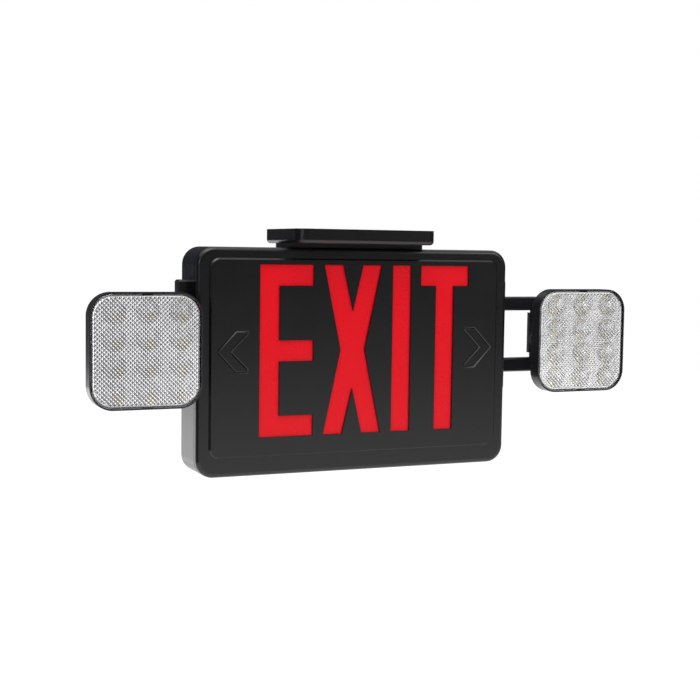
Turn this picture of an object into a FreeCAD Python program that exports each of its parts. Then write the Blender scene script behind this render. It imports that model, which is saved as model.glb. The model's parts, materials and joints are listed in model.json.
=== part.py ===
import FreeCAD, Part
import math
import os

# Emergency exit light: a lettered sign housing under a ceiling canopy, with an aimable lamp head on a
# telescoping U-shaped arm at each side.
#
# Frame: millimetres. The origin is the centre of the canopy's ceiling plane. -Y is the lettered front,
# +X the reader's right, +Z up.

V = FreeCAD.Vector
os.makedirs("parts", exist_ok=True)

# ---- clearances -------------------------------------------------------------------------------------
GAP = 0.3            # between pieces that slide past each other or lie side by side
RUN = 0.05           # radial clearance of a running pivot
SEAT = 0.1           # between nested pieces of one body
WELD = 0.5           # overlap of shapes that are joined into one piece

# ---- canopy -----------------------------------------------------------------------------------------
canopy_w = 135.0
canopy_d = 88.0
canopy_h = 13.0
canopy_corner_r = 10.0
canopy_edge_r = 3.5
canopy_wall = 2.5
neck_w = 131.0
neck_d = 35.0
neck_h = 3.7
wire_hole_r = 11.0
ceiling_screw_span = 88.9
ceiling_screw_hole_r = 2.4
ceiling_boss_r = 5.0
hook_w = 14.0
hook_t = 2.0
hook_nib = 1.2
hook_x = 48.0

# ---- sign housing -----------------------------------------------------------------------------------
housing_w = 304.8
housing_h = 201.0
housing_d = 48.0
corner_r = 16.0
wall = 2.5
rear_bevel = 2.5
cover_d = 8.0
cover_edge_r = 4.0
cover_wall = 2.2
seam_gap = 0.8
lip_t = 1.6
lip_depth = 5.0
rim_top = 9.5
rim_bottom = 17.0
rim_side = 10.9
panel_raise = 2.0
panel_bevel = 1.4
panel_corner_r = 9.0
panel_wall = 1.8
panel_pocket_margin = 4.0
snap_w = 12.0
snap_reach = 9.0
snap_nib = 1.0
snap_x = 92.0
wall_slot_r = 2.4
wall_slot_len = 13.0

# ---- sign lamp --------------------------------------------------------------------------------------
diffuser_t = 2.0
tray_w = 244.0
tray_h = 158.0
tray_d = 17.0
tray_wall = 1.5
tray_corner_r = 6.0
tray_centre_above_housing = 3.6
strip_w = 206.0
strip_t = 1.2
strip_d = 8.0
sign_led_count = 12
sign_led_size = 3.0
sign_led_h = 1.0

# ---- electronics behind the tray --------------------------------------------------------------------
post_r = 3.5
post_screw_r = 1.3
post_screw_head_t = 1.7
board_w = 96.0
board_h = 76.0
board_t = 1.6
board_standoff = 5.0
board_x = 44.0
board_above_floor = 4.0
board_hole_inset = 6.0
transformer_w = 34.0
transformer_h = 30.0
transformer_d = 15.0
transformer_inset = 4.0
transformer_drop = 12.0
core_share = 0.6             # core's height, of the bobbin's
bobbin_share = 0.62          # bobbin's width, of the core's
bobbin_r = 3.0
bobbin_step = 2.0
capacitor_r = 5.0
capacitor_len = 12.0
capacitor_count = 3
capacitor_pitch = 13.0
capacitor_inset = 8.0
relay_w = 19.0
relay_h = 15.0
relay_d = 10.0
relay_offset = 18.0
relay_bevel = 1.0
terminal_w = 20.0
terminal_h = 9.0
terminal_d = 10.0
terminal_inset = 14.0
terminal_rise = 4.0
terminal_ways = 4
terminal_entry = 3.0
terminal_entry_d = 4.0
switch_w = 8.0
switch_d = 7.0
switch_h = 6.0
plunger_r = 1.5
plunger_len = 1.0
battery_cell_r = 7.2
battery_len = 50.0
battery_cells = 3
battery_wrap_share = 1.7     # depth of the wrap between the cells, of their radius
battery_x = -52.0
battery_above_floor = 12.0
strap_t = 1.5
strap_w = 14.0
strap_foot = 9.0
lead_r = 1.1
lead_bend = 3.0
lead_sides = 6
sign_lead_rise = 18.0
sign_lead_inset = (2.0, 4.0)  # of its end from the board's left and upper edges
battery_lead_run = 10.0      # level run before the terminal block

# ---- test button and charge indicator ---------------------------------------------------------------
button_r = 4.5
button_inset = 16.0          # from the board's right edge
button_proud = 3.0
button_flange_r = 6.5
button_flange_t = 1.5
button_travel = 1.5
button_bevel = 0.7
indicator_r = 2.5
indicator_proud = 1.2
indicator_flange_r = 3.6
indicator_spacing = 18.0

# ---- arms and their guides --------------------------------------------------------------------------
arm_above_housing = 19.4     # arm centre line above the middle of the housing
arm_y = 5.0                  # depth of the crossbar's axis
leg_t = 10.0
leg_h = 13.2
leg_gap = 46.4
leg_bevel = 1.2
crossbar_r = 4.5
arm_reach = 25.1             # crossbar's distance from the housing's side, arm pushed in
arm_travel = 24.5
stop_len = 3.2
stop_nib = 1.2
guide_proud = 10.6
guide_front = 10.0           # in front of the crossbar's axis
guide_rear = 8.0             # behind it
guide_h = 104.0
guide_front_r = 1.5
guide_rear_r = 6.0
guide_end_bevel = 1.4
guide_sleeve = 10.0
guide_wall = 1.6
guide_end_wall = 3.0

# ---- swivel knuckle ---------------------------------------------------------------------------------
sleeve_r = 7.0
sleeve_h = 39.0
sleeve_mouth = 7.0
tilt_y = -15.5               # depth of the tilt axis
lug_r = 6.0
lug_len = 20.0
web_w = 12.0
tilt_screw_r = 2.0
tilt_head_r = 3.6
tilt_head_t = 1.8
nut_across = 7.0
nut_t = 3.0
ear_t = 3.5

# ---- lamp heads -------------------------------------------------------------------------------------
head_w = 96.5
head_h = 97.8
head_r = 20.0
head_drop = 5.1              # head centre below the arm's centre line
head_slip = 1.2              # each knuckle's place on its crossbar: right above, left below
head_reach = 23.75           # head centre outward of the crossbar
head_front_y = -43.0
shell_d = 17.0
shell_wall = 2.0
shell_bevel = 3.5
rim_t = 1.2
lens_seat = 3.0
lens_proud = 1.0
lens_t = 1.8
lens_skirt = 1.5
lens_bevel = 0.9
lens_notch_w = 9.0
lens_notch_d = 1.6
lens_notch_step = 0.5
cup_columns = 3
cup_rows = 4
cup_pitch_x = 28.5
cup_pitch_z = 22.6
cup_mouth_r = 10.4
cup_base_r = 3.2
cup_facets = 16
led_board_t = 1.6
led_size = 3.5
led_h = 1.0
head_screw_r = 1.5
head_screw_head_r = 2.8
head_screw_head_t = 1.6
head_screw_bite = 4.0        # how far a screw reaches into the reflector

# ---- places that follow from the sizes above --------------------------------------------------------
canopy_floor_z = -canopy_h + canopy_wall
housing_top = -canopy_h - neck_h
housing_z = housing_top - housing_h / 2
housing_bottom = housing_top - housing_h
rim_y = -housing_d / 2
rear_y = housing_d / 2
inner_rear_y = rear_y - wall
seam_y = rim_y + cover_d
panel_y = rim_y - panel_raise
panel_w = housing_w - 2 * rim_side
panel_h = housing_h - rim_top - rim_bottom
panel_z = housing_top - rim_top - panel_h / 2
diffuser_y = panel_y + panel_wall
tray_y = diffuser_y + diffuser_t
tray_back_y = tray_y + tray_d
tray_z = housing_z + tray_centre_above_housing
board_y = inner_rear_y - board_standoff - board_t
board_z = housing_bottom + wall + board_above_floor + board_h / 2
battery_z = housing_bottom + wall + battery_above_floor + battery_len / 2
battery_y = inner_rear_y - SEAT - battery_cell_r
button_x = board_x + board_w / 2 - button_inset
button_y = board_y - switch_d / 2
half_w = housing_w / 2
guide_in = half_w - wall - guide_sleeve
guide_out = half_w + guide_proud
arm_z = housing_z + arm_above_housing
leg_offset = (leg_gap + leg_h) / 2
crossbar_in = half_w + arm_reach
crossbar_out = crossbar_in + arm_travel
leg_len = crossbar_out - guide_in + GAP + stop_len
head_z = arm_z - head_drop
shell_rear_y = head_front_y + shell_d
shell_floor_y = shell_rear_y - shell_wall
seat_y = head_front_y + lens_seat
led_board_y = shell_floor_y - led_board_t


# ---- small helpers ----------------------------------------------------------------------------------
def block(x, y, z):
    """Box between the (low, high) pairs x, y and z."""
    size = (x[1] - x[0], y[1] - y[0], z[1] - z[0])
    return Part.makeBox(size[0], size[1], size[2], V(x[0], y[0], z[0]))


def around(centre, size):
    """(low, high) pair of a length centred on a value."""
    return (centre - size / 2, centre + size / 2)


def rod(start, direction, radius, length):
    """Cylinder from a start point along a direction."""
    return Part.makeCylinder(radius, length, V(*start), V(*direction))


def edges_along(shape, axis):
    """Straight edges parallel to one axis (0, 1 or 2)."""
    found = []
    for edge in shape.Edges:
        if edge.Curve.TypeId == "Part::GeomLine":
            way = edge.tangentAt(edge.FirstParameter)
            if abs(abs(way[axis]) - 1) < 1e-6:
                found.append(edge)
    return found


def edges_in_plane(shape, axis, value):
    """Edges that lie in the plane where one coordinate has a value."""
    found = []
    for edge in shape.Edges:
        low = (edge.BoundBox.XMin, edge.BoundBox.YMin, edge.BoundBox.ZMin)[axis]
        high = (edge.BoundBox.XMax, edge.BoundBox.YMax, edge.BoundBox.ZMax)[axis]
        if abs(low - value) < 1e-4 and abs(high - value) < 1e-4:
            found.append(edge)
    return found


def upright_plate(w, h, radius, y, x=0.0, z=0.0):
    """Slab with rounded corners that faces -Y, between the (front, rear) pair y."""
    slab = block(around(x, w), y, around(z, h))
    return slab.makeFillet(radius, edges_along(slab, 1))


def flat_plate(w, d, radius, z, x=0.0, y=0.0):
    """Slab with rounded corners that lies level, between the (low, high) pair z."""
    slab = block(around(x, w), around(y, d), z)
    return slab.makeFillet(radius, edges_along(slab, 2))


def join(shapes):
    """One solid from several that touch or overlap."""
    whole = shapes[0]
    for shape in shapes[1:]:
        whole = whole.fuse(shape)
    return whole.removeSplitter()


def cut_all(shape, tools):
    """The shape less every tool."""
    for tool in tools:
        shape = shape.cut(tool)
    return shape


def lead(points, radius, bend):
    """Six-sided lead along straight runs with tangent arcs of one bend radius."""
    edges = []
    start = V(*points[0])
    for i in range(1, len(points) - 1):
        corner = V(*points[i])
        back = (V(*points[i - 1]) - corner).normalize()
        on = (V(*points[i + 1]) - corner).normalize()
        half = back.getAngle(on) / 2
        reach = bend / math.tan(half)
        first = corner + back * reach
        last = corner + on * reach
        middle = corner + (back + on).normalize() * (bend / math.sin(half) - bend)
        edges.append(Part.LineSegment(start, first).toShape())
        edges.append(Part.Arc(first, middle, last).toShape())
        start = last
    edges.append(Part.LineSegment(start, V(*points[-1])).toShape())
    path = Part.Wire(edges)
    circle = Part.makeCircle(radius, V(*points[0]), edges[0].tangentAt(0))
    ring = Part.makePolygon([circle.valueAt(2 * math.pi * i / lead_sides) for i in range(lead_sides + 1)])
    return path.makePipeShell([ring], True, True)


# ---- canopy -----------------------------------------------------------------------------------------
def canopy():
    """Open-topped ceiling canopy with its neck, screw bosses and the hooks that hold the housing."""
    pan = flat_plate(canopy_w, canopy_d, canopy_corner_r, (-canopy_h, 0))
    pan = pan.makeFillet(canopy_edge_r, edges_in_plane(pan, 2, -canopy_h))
    inside_r = canopy_corner_r - canopy_wall
    inside = flat_plate(canopy_w - 2 * canopy_wall, canopy_d - 2 * canopy_wall, inside_r, (canopy_floor_z, 1))
    pan = pan.cut(inside)
    overlap = canopy_edge_r
    neck = block(around(0, neck_w), around(0, neck_d), (housing_top, -canopy_h + overlap))
    neck_core = block(around(0, neck_w - 2 * canopy_wall), around(0, neck_d - 2 * canopy_wall),
                      (housing_top - 1, -canopy_h))
    bosses = [rod((x, 0, canopy_floor_z - WELD), (0, 0, 1), ceiling_boss_r, WELD - canopy_floor_z)
              for x in screw_places()]
    hooks = [hook(x, side) for x in (-hook_x, hook_x) for side in (-1, 1)]
    body = join([pan, neck.cut(neck_core).cut(inside)] + bosses + hooks)
    under = -canopy_h - 1
    holes = [rod((x, 0, under), (0, 0, 1), ceiling_screw_hole_r, canopy_h + 2) for x in screw_places()]
    wire = rod((0, 0, under), (0, 0, 1), wire_hole_r, canopy_h)
    return cut_all(body, holes + [wire])


def screw_places():
    """X of the two ceiling screws."""
    return (-ceiling_screw_span / 2, ceiling_screw_span / 2)


def hook_y(side):
    """(low, high) Y of a hook's stem, just inside the neck's wall."""
    outer = side * (neck_d / 2 - canopy_wall)
    inner = outer - side * hook_t
    return (min(outer, inner), max(outer, inner))


def hook(x, side):
    """Hook that passes through the housing's top and bears on its underside."""
    stem_y = hook_y(side)
    bottom = housing_top - wall - SEAT
    stem = block(around(x, hook_w), stem_y, (bottom - hook_nib, -canopy_h))
    nib_y = (stem_y[0] - hook_nib, stem_y[0]) if side < 0 else (stem_y[1], stem_y[1] + hook_nib)
    nib = block(around(x, hook_w), nib_y, (bottom - hook_nib, bottom))
    return stem.fuse(nib)


# ---- rear housing -----------------------------------------------------------------------------------
def housing_shell():
    """Rounded box, open at the front."""
    outer = upright_plate(housing_w, housing_h, corner_r, (seam_y, rear_y), z=housing_z)
    outer = outer.makeChamfer(rear_bevel, edges_in_plane(outer, 1, rear_y))
    hollow = upright_plate(housing_w - 2 * wall, housing_h - 2 * wall, corner_r - wall,
                           (seam_y - 1, inner_rear_y), z=housing_z)
    return outer.cut(hollow)


def board_posts():
    """(x, z) of the charger board's four posts."""
    reach_x = board_w / 2 - board_hole_inset
    reach_z = board_h / 2 - board_hole_inset
    return [(board_x + i * reach_x, board_z + k * reach_z) for i in (-1, 1) for k in (-1, 1)]


def tray_posts():
    """(x, z) of the four long posts that the lamp tray rests on."""
    reach_x = tray_w / 2 - 2 * post_r
    reach_z = tray_h / 2 - 2 * post_r
    return [(i * reach_x, tray_z + k * reach_z) for i in (-1, 1) for k in (-1, 1)]


def strap_feet():
    """X of the battery strap's two feet."""
    reach = battery_cells * battery_cell_r + strap_t + GAP + strap_foot / 2
    return (battery_x - reach, battery_x + reach)


def rear_openings():
    """Slotted screw holes and the scored knock-out of the rear wall."""
    cuts = []
    for x in screw_places():
        slot = block(around(x, wall_slot_len - 2 * wall_slot_r), (inner_rear_y - 1, rear_y + 1),
                     around(wall_mount_z(), 2 * wall_slot_r))
        cuts.append(slot)
        for end in around(x, wall_slot_len - 2 * wall_slot_r):
            cuts.append(rod((end, inner_rear_y - 1, wall_mount_z()), (0, 1, 0), wall_slot_r, wall + 2))
    groove = rod((0, rear_y - wall / 2, wall_mount_z()), (0, 1, 0), wire_hole_r, wall)
    groove = groove.cut(rod((0, rear_y - wall, wall_mount_z()), (0, 1, 0), wire_hole_r - 1, 2 * wall))
    cuts.append(groove)
    return cuts


def wall_mount_z():
    """Height of the rear wall's fixing line."""
    return housing_z + housing_h / 4


def rear_housing():
    """Rear housing with its posts, guide windows, hook slots and bores."""
    shell = housing_shell()
    tray_post_len = inner_rear_y + WELD - tray_back_y
    posts = [rod((x, tray_back_y, z), (0, 1, 0), post_r, tray_post_len) for x, z in tray_posts()]
    posts += [rod((x, board_y + board_t, z), (0, 1, 0), post_r, board_standoff + WELD) for x, z in board_posts()]
    body = join([shell] + posts)
    cuts = rear_openings()
    for side in (-1, 1):
        window_x = around(side * (half_w - wall / 2), wall + 2)
        window_z = around(arm_z, sleeve_tall() + 2 * SEAT)
        cuts.append(block(window_x, around(arm_y, sleeve_t() + 2 * SEAT), window_z))
        for x in (-hook_x, hook_x):
            low, high = hook_y(side)
            front_nib, rear_nib = (hook_nib, 0) if side < 0 else (0, hook_nib)
            slot_y = (low - front_nib - GAP, high + rear_nib + GAP)
            cuts.append(block(around(x, hook_w + 2 * GAP), slot_y, (housing_top - wall - 1, housing_top + 1)))
        for x in (-snap_x, snap_x):
            z = housing_z + side * (housing_h / 2 - wall / 2)
            cuts.append(block(around(x, snap_w + 2 * GAP), snap_window_y(), around(z, wall + 2)))
    cuts.append(rod((0, 0, housing_top - wall - 1), (0, 0, 1), wire_hole_r, wall + 2))
    floor = housing_bottom - 1
    cuts.append(rod((button_x, button_y, floor), (0, 0, 1), button_r + RUN, wall + 2))
    cuts.append(rod((button_x - indicator_spacing, button_y, floor), (0, 0, 1), indicator_r + SEAT, wall + 2))
    for x, z in board_posts():
        cuts.append(rod((x, board_y, z), (0, 1, 0), post_screw_r, board_t + board_standoff))
    for x in strap_feet():
        cuts.append(rod((x, inner_rear_y - 1, battery_z), (0, 1, 0), post_screw_r, wall / 2 + 1))
    return cut_all(body, cuts)


# ---- front cover ------------------------------------------------------------------------------------
def snap_window_y():
    """(low, high) Y of the windows that the cover's snaps catch in."""
    start = seam_y + snap_reach - 2 * snap_nib
    return (start - GAP, start + 2 * snap_nib + GAP)


def snap(x, side):
    """Tongue on the cover's lip with a nib that catches in the housing's window."""
    z = housing_z + side * (housing_h / 2 - wall - SEAT)
    inner = z - side * lip_t
    tongue_y = (seam_y + lip_depth - 1, seam_y + snap_reach)
    tongue = block(around(x, snap_w), tongue_y, (min(z, inner), max(z, inner)))
    tip = z + side * snap_nib
    start = seam_y + snap_reach - 2 * snap_nib
    nib = block(around(x, snap_w), (start, start + 2 * snap_nib), (min(inner, tip), max(inner, tip)))
    return tongue.fuse(nib)


def cover_lip():
    """Ring behind the cover's skirt that nests inside the rear housing."""
    trim = wall + SEAT
    lip_y = (seam_y - cover_d / 2, seam_y + lip_depth)
    outer = upright_plate(housing_w - 2 * trim, housing_h - 2 * trim, corner_r - trim, lip_y, z=housing_z)
    inset = trim + lip_t
    inner = upright_plate(housing_w - 2 * inset, housing_h - 2 * inset, corner_r - inset,
                          (lip_y[0] - 1, lip_y[1] + 1), z=housing_z)
    return outer.cut(inner)


def front_cover():
    """Front cover: rounded rim, raised bevelled panel, skirt, nesting lip and four snaps."""
    skirt = upright_plate(housing_w, housing_h, corner_r, (rim_y, seam_y - seam_gap), z=housing_z)
    skirt = skirt.makeFillet(cover_edge_r, edges_in_plane(skirt, 1, rim_y))
    panel = upright_plate(panel_w, panel_h, panel_corner_r, (panel_y, rim_y + 1), z=panel_z)
    panel = panel.makeChamfer(panel_bevel, edges_in_plane(panel, 1, panel_y))
    inset = wall + SEAT + lip_t
    hollow = upright_plate(housing_w - 2 * inset, housing_h - 2 * inset, corner_r - inset,
                           (rim_y + cover_wall, seam_y + 1), z=housing_z)
    pocket_w = panel_w - 2 * panel_pocket_margin
    pocket_h = panel_h - 2 * panel_pocket_margin
    pocket = upright_plate(pocket_w, pocket_h, panel_corner_r / 2, (diffuser_y, seam_y), z=panel_z)
    snaps = [snap(x, side) for x in (-snap_x, snap_x) for side in (-1, 1)]
    body = join([skirt, panel]).cut(hollow).cut(pocket)
    lip = cut_all(cover_lip(), [hook_relief(x) for x in (-hook_x, hook_x)])
    return join([body, lip] + snaps)


def hook_relief(x):
    """Gap in the lip where a canopy hook comes down."""
    return block(around(x, hook_w + 4 * GAP), (hook_y(-1)[0] - hook_nib - GAP, seam_y + lip_depth + 1),
                 (housing_top - 2 * wall - lip_t, housing_top))


# ---- sign lamp --------------------------------------------------------------------------------------
def red_diffuser():
    """Translucent sheet that lies in the pocket behind the letters."""
    trim = 2 * (panel_pocket_margin + SEAT)
    return upright_plate(panel_w - trim, panel_h - trim, panel_corner_r / 2, (diffuser_y, tray_y), z=panel_z)


def reflector_tray():
    """White tray behind the diffuser that spreads the light of the two strips."""
    outer = upright_plate(tray_w, tray_h, tray_corner_r, (tray_y, tray_back_y), z=tray_z)
    inner = upright_plate(tray_w - 2 * tray_wall, tray_h - 2 * tray_wall, tray_corner_r - tray_wall,
                          (tray_y - 1, tray_back_y - tray_wall), z=tray_z)
    lead_hole = rod((0, tray_back_y - tray_wall - 1, sign_lead_z()), (0, 1, 0), lead_r + SEAT, tray_wall + 2)
    return outer.cut(inner).cut(lead_hole)


def strip_z(side):
    """Height of a light strip's wall side: +1 upper strip, -1 lower strip."""
    return tray_z + side * (tray_h / 2 - tray_wall)


def strip_y():
    """(front, rear) of the light strips."""
    rear = tray_back_y - tray_wall
    return (rear - strip_d, rear)


def led_strip(side):
    """Circuit strip along the tray's upper or lower wall."""
    outer = strip_z(side)
    inner = outer - side * strip_t
    return block(around(0, strip_w), strip_y(), (min(outer, inner), max(outer, inner)))


def sign_leds(side):
    """Row of lamps on one strip."""
    outer = strip_z(side) - side * strip_t
    inner = outer - side * sign_led_h
    pitch = strip_w / sign_led_count
    lamps = []
    for i in range(sign_led_count):
        x = (i - (sign_led_count - 1) / 2) * pitch
        y = around(sum(strip_y()) / 2, sign_led_size)
        lamps.append(block(around(x, sign_led_size), y, (min(outer, inner), max(outer, inner))))
    return Part.makeCompound(lamps)


# ---- electronics ------------------------------------------------------------------------------------
def charger_board():
    """Charger circuit board on four posts."""
    board = block(around(board_x, board_w), (board_y, board_y + board_t), around(board_z, board_h))
    hole_r = post_screw_r + SEAT
    return cut_all(board, [rod((x, board_y - 1, z), (0, 1, 0), hole_r, board_t + 2) for x, z in board_posts()])


def board_screws():
    """Four screws through the board into its posts."""
    screws = []
    for x, z in board_posts():
        head = rod((x, board_y - post_screw_head_t, z), (0, 1, 0), 2 * post_screw_r, post_screw_head_t)
        shank = rod((x, board_y - WELD, z), (0, 1, 0), post_screw_r - RUN, board_t + board_standoff - 1)
        screws.append(head.fuse(shank).removeSplitter())
    return Part.makeCompound(screws)


def transformer():
    """Laminated core with a wound bobbin through its middle."""
    x = board_x - board_w / 2 + transformer_w / 2 + transformer_inset
    z = board_z + board_h / 2 - transformer_h / 2 - transformer_drop
    front = board_y - transformer_d
    core = block(around(x, transformer_w), (front, board_y), around(z, transformer_h * core_share))
    bobbin = upright_plate(transformer_w * bobbin_share, transformer_h, bobbin_r, (front + bobbin_step, board_y),
                           x=x, z=z)
    return join([core, bobbin])


def relay():
    """Transfer relay."""
    x, z = board_x + relay_offset, board_z + relay_offset
    box = block(around(x, relay_w), (board_y - relay_d, board_y), around(z, relay_h))
    return box.makeChamfer(relay_bevel, edges_in_plane(box, 1, board_y - relay_d))


def board_capacitors():
    """Three electrolytic capacitors that stand on the board."""
    z = board_z - capacitor_inset
    places = [board_x - capacitor_inset + capacitor_pitch * i for i in range(capacitor_count)]
    cans = [rod((x, board_y - capacitor_len, z), (0, 1, 0), capacitor_r, capacitor_len) for x in places]
    return Part.makeCompound(cans)


def terminal_place():
    """(x, z) of the terminal block."""
    x = board_x - board_w / 2 + terminal_w / 2 + terminal_inset
    return (x, board_z - board_h / 2 + terminal_h / 2 + terminal_rise)


def terminal_block():
    """Four-way terminal block at the board's lower edge."""
    x, z = terminal_place()
    front = board_y - terminal_d
    body = block(around(x, terminal_w), (front, board_y), around(z, terminal_h))
    ways = [x + (i - (terminal_ways - 1) / 2) * terminal_w / terminal_ways for i in range(terminal_ways)]
    deep = (front - 1, front + terminal_entry_d)
    return cut_all(body, [block(around(way, terminal_entry), deep, around(z, terminal_entry)) for way in ways])


def test_switch():
    """Push switch at the board's lower edge, above the test button."""
    bottom = switch_bottom()
    body = block(around(button_x, switch_w), (board_y - switch_d, board_y), (bottom, bottom + switch_h))
    plunger = rod((button_x, button_y, bottom - plunger_len), (0, 0, 1), plunger_r, plunger_len + WELD)
    return join([body, plunger])


def switch_bottom():
    """Underside of the switch's case, one button travel and a gap above the button."""
    return housing_bottom + wall + GAP + button_flange_t + button_travel + GAP + plunger_len


def battery_pack():
    """Cells side by side in one shrink wrap."""
    cells = []
    for i in range(battery_cells):
        x = battery_x + (i - (battery_cells - 1) / 2) * 2 * battery_cell_r
        cells.append(rod((x, battery_y, battery_z - battery_len / 2), (0, 0, 1), battery_cell_r, battery_len))
    wrap_w = (battery_cells - 1) * 2 * battery_cell_r
    wrap_d = battery_wrap_share * battery_cell_r
    wrap = block(around(battery_x, wrap_w), around(battery_y, wrap_d), around(battery_z, battery_len))
    return join(cells + [wrap])


def battery_strap():
    """Bent strap over the battery pack, with a foot at each side."""
    inner = battery_cells * battery_cell_r + GAP
    front = battery_y - battery_cell_r - GAP
    z = around(battery_z, strap_w)
    bridge = block(around(battery_x, 2 * (inner + strap_t)), (front - strap_t, front), z)
    parts = [bridge]
    for side in (-1, 1):
        near = battery_x + side * inner
        far = near + side * strap_t
        tip = far + side * strap_foot
        parts.append(block((min(near, far), max(near, far)), (front - strap_t, inner_rear_y), z))
        parts.append(block((min(near, tip), max(near, tip)), (inner_rear_y - strap_t, inner_rear_y), z))
    strap = join(parts)
    hole_y = inner_rear_y - strap_t - 1
    holes = [rod((x, hole_y, battery_z), (0, 1, 0), post_screw_r, strap_t + 2) for x in strap_feet()]
    return cut_all(strap, holes)


def strap_screws():
    """Two screws through the strap's feet."""
    screws = []
    for x in strap_feet():
        seat = inner_rear_y - strap_t
        head = rod((x, seat - post_screw_head_t, battery_z), (0, 1, 0), 2 * post_screw_r, post_screw_head_t)
        shank = rod((x, seat - WELD, battery_z), (0, 1, 0), post_screw_r - RUN, strap_t + 1)
        screws.append(head.fuse(shank).removeSplitter())
    return Part.makeCompound(screws)


def battery_lead():
    """Lead from the foot of the battery pack to the terminal block."""
    x, z = terminal_place()
    y = board_y - terminal_d / 2
    start_z = battery_z - battery_len / 2
    low_z = start_z - 2 * lead_bend
    mouth = x - terminal_w / 2
    turn = mouth - battery_lead_run
    places = [(battery_x, start_z), (battery_x, low_z), (turn, low_z), (turn, z), (mouth, z)]
    return lead([(px, y, pz) for px, pz in places], lead_r, lead_bend)


def sign_lead_z():
    """Height at which the sign's lead enters the tray."""
    return board_z + board_h / 2 + sign_lead_rise


def sign_lead():
    """Lead from the charger board up to the back of the lamp tray."""
    x = board_x - board_w / 2 + sign_lead_inset[0]
    z = board_z + board_h / 2 - sign_lead_inset[1]
    top = sign_lead_z()
    y = (tray_back_y + board_y) / 2
    return lead([(x, board_y, z), (x, y, z), (x, y, top), (0, y, top), (0, tray_back_y - tray_wall, top)],
                lead_r, lead_bend)


def test_button():
    """Push button through the underside, held in by its flange."""
    bottom = housing_bottom - button_proud
    flange_z = housing_bottom + wall + GAP
    stem = rod((button_x, button_y, bottom), (0, 0, 1), button_r, flange_z - bottom)
    stem = stem.makeChamfer(button_bevel, edges_in_plane(stem, 2, bottom))
    flange = rod((button_x, button_y, flange_z), (0, 0, 1), button_flange_r, button_flange_t)
    return join([stem, flange])


def charge_indicator():
    """Round pilot lens beside the test button."""
    x = button_x - indicator_spacing
    bottom = housing_bottom - indicator_proud
    top = housing_bottom + wall
    stem = rod((x, button_y, bottom), (0, 0, 1), indicator_r, top - bottom)
    stem = stem.makeChamfer(button_bevel, edges_in_plane(stem, 2, bottom))
    flange = rod((x, button_y, top), (0, 0, 1), indicator_flange_r, button_flange_t)
    return join([stem, flange])


# ---- arms, built on the right-hand side --------------------------------------------------------------
def sleeve_t():
    """Thickness of a guide's inner sleeve, in Y."""
    return leg_t + 2 * GAP + 2 * guide_wall


def sleeve_tall():
    """Height of a guide's inner sleeve."""
    return leg_gap + 2 * leg_h + 2 * GAP + 2 * guide_end_wall


def arm_guide():
    """Block on the housing's side with the two slots that the arm's legs slide in."""
    low, high = around(arm_z, guide_h)
    front, rear = arm_y - guide_front, arm_y + guide_rear
    pad = block((half_w, guide_out), (front, rear), (low, high))
    for y, radius in ((front, guide_front_r), (rear, guide_rear_r)):
        upright = [edge for edge in edges_in_plane(pad, 1, y) if abs(edge.BoundBox.XMin - guide_out) < 1e-4]
        pad = pad.makeFillet(radius, upright)
    ends = edges_in_plane(pad, 2, low) + edges_in_plane(pad, 2, high)
    pad = pad.makeChamfer(guide_end_bevel, [edge for edge in ends if edge.BoundBox.XMax > half_w + 1e-4])
    sleeve = block((guide_in, half_w + 1), around(arm_y, sleeve_t()), around(arm_z, sleeve_tall()))
    cuts = []
    for side in (-1, 1):
        z = arm_z + side * leg_offset
        slot_y, slot_z = around(arm_y, leg_t + 2 * GAP), around(z, leg_h + 2 * GAP)
        cuts.append(block((guide_in - 1, guide_out + 1), slot_y, slot_z))
    core_h = leg_gap - 2 * GAP - 2 * guide_end_wall
    core_x = (guide_in - 1, guide_out - guide_end_wall)
    cuts.append(block(core_x, around(arm_y, leg_t), around(arm_z, core_h)))
    return cut_all(join([pad, sleeve]), cuts)


def arm(crossbar_x):
    """U-shaped arm: two bevelled legs, their stops and the round crossbar between their ends."""
    inner = crossbar_x - leg_len
    parts = [rod((crossbar_x, arm_y, arm_z - leg_gap / 2 - 1), (0, 0, 1), crossbar_r, leg_gap + 2)]
    for side in (-1, 1):
        z = arm_z + side * leg_offset
        leg = block((inner, crossbar_x), around(arm_y, leg_t), around(z, leg_h))
        leg = leg.makeChamfer(leg_bevel, edges_along(leg, 0))
        low, high = around(z, leg_h)
        tip = rod((crossbar_x, arm_y, low), (0, 0, 1), leg_t / 2, leg_h)
        tip = tip.makeChamfer(leg_bevel, edges_in_plane(tip, 2, low) + edges_in_plane(tip, 2, high))
        stop_y, stop_z = around(arm_y, leg_t + 2 * stop_nib), around(z, leg_h - 2 * leg_bevel)
        stop = block((inner, inner + stop_len), stop_y, stop_z)
        parts += [leg, tip, stop]
    return join(parts)


def swivel_knuckle(crossbar_x):
    """C-shaped sleeve that snaps on the crossbar, with the lug that the head tilts on."""
    sleeve = rod((crossbar_x, arm_y, arm_z - sleeve_h / 2), (0, 0, 1), sleeve_r, sleeve_h)
    web = block(around(crossbar_x, web_w), (tilt_y, arm_y), around(head_z, 2 * lug_r))
    lug = rod((crossbar_x - lug_len / 2, tilt_y, head_z), (1, 0, 0), lug_r, lug_len)
    bore = rod((crossbar_x, arm_y, arm_z - sleeve_h), (0, 0, 1), crossbar_r + RUN, 2 * sleeve_h)
    mouth_y = (arm_y, arm_y + 2 * sleeve_r)
    mouth = block(around(crossbar_x, sleeve_mouth), mouth_y, around(arm_z, sleeve_h + 2))
    pin = rod((crossbar_x - lug_len, tilt_y, head_z), (1, 0, 0), tilt_screw_r + RUN, 2 * lug_len)
    return cut_all(join([sleeve, web, lug]), [bore, mouth, pin])


def ear_outer():
    """Outer face of the head's ears, from the crossbar's X."""
    return lug_len / 2 + GAP + ear_t


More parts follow.
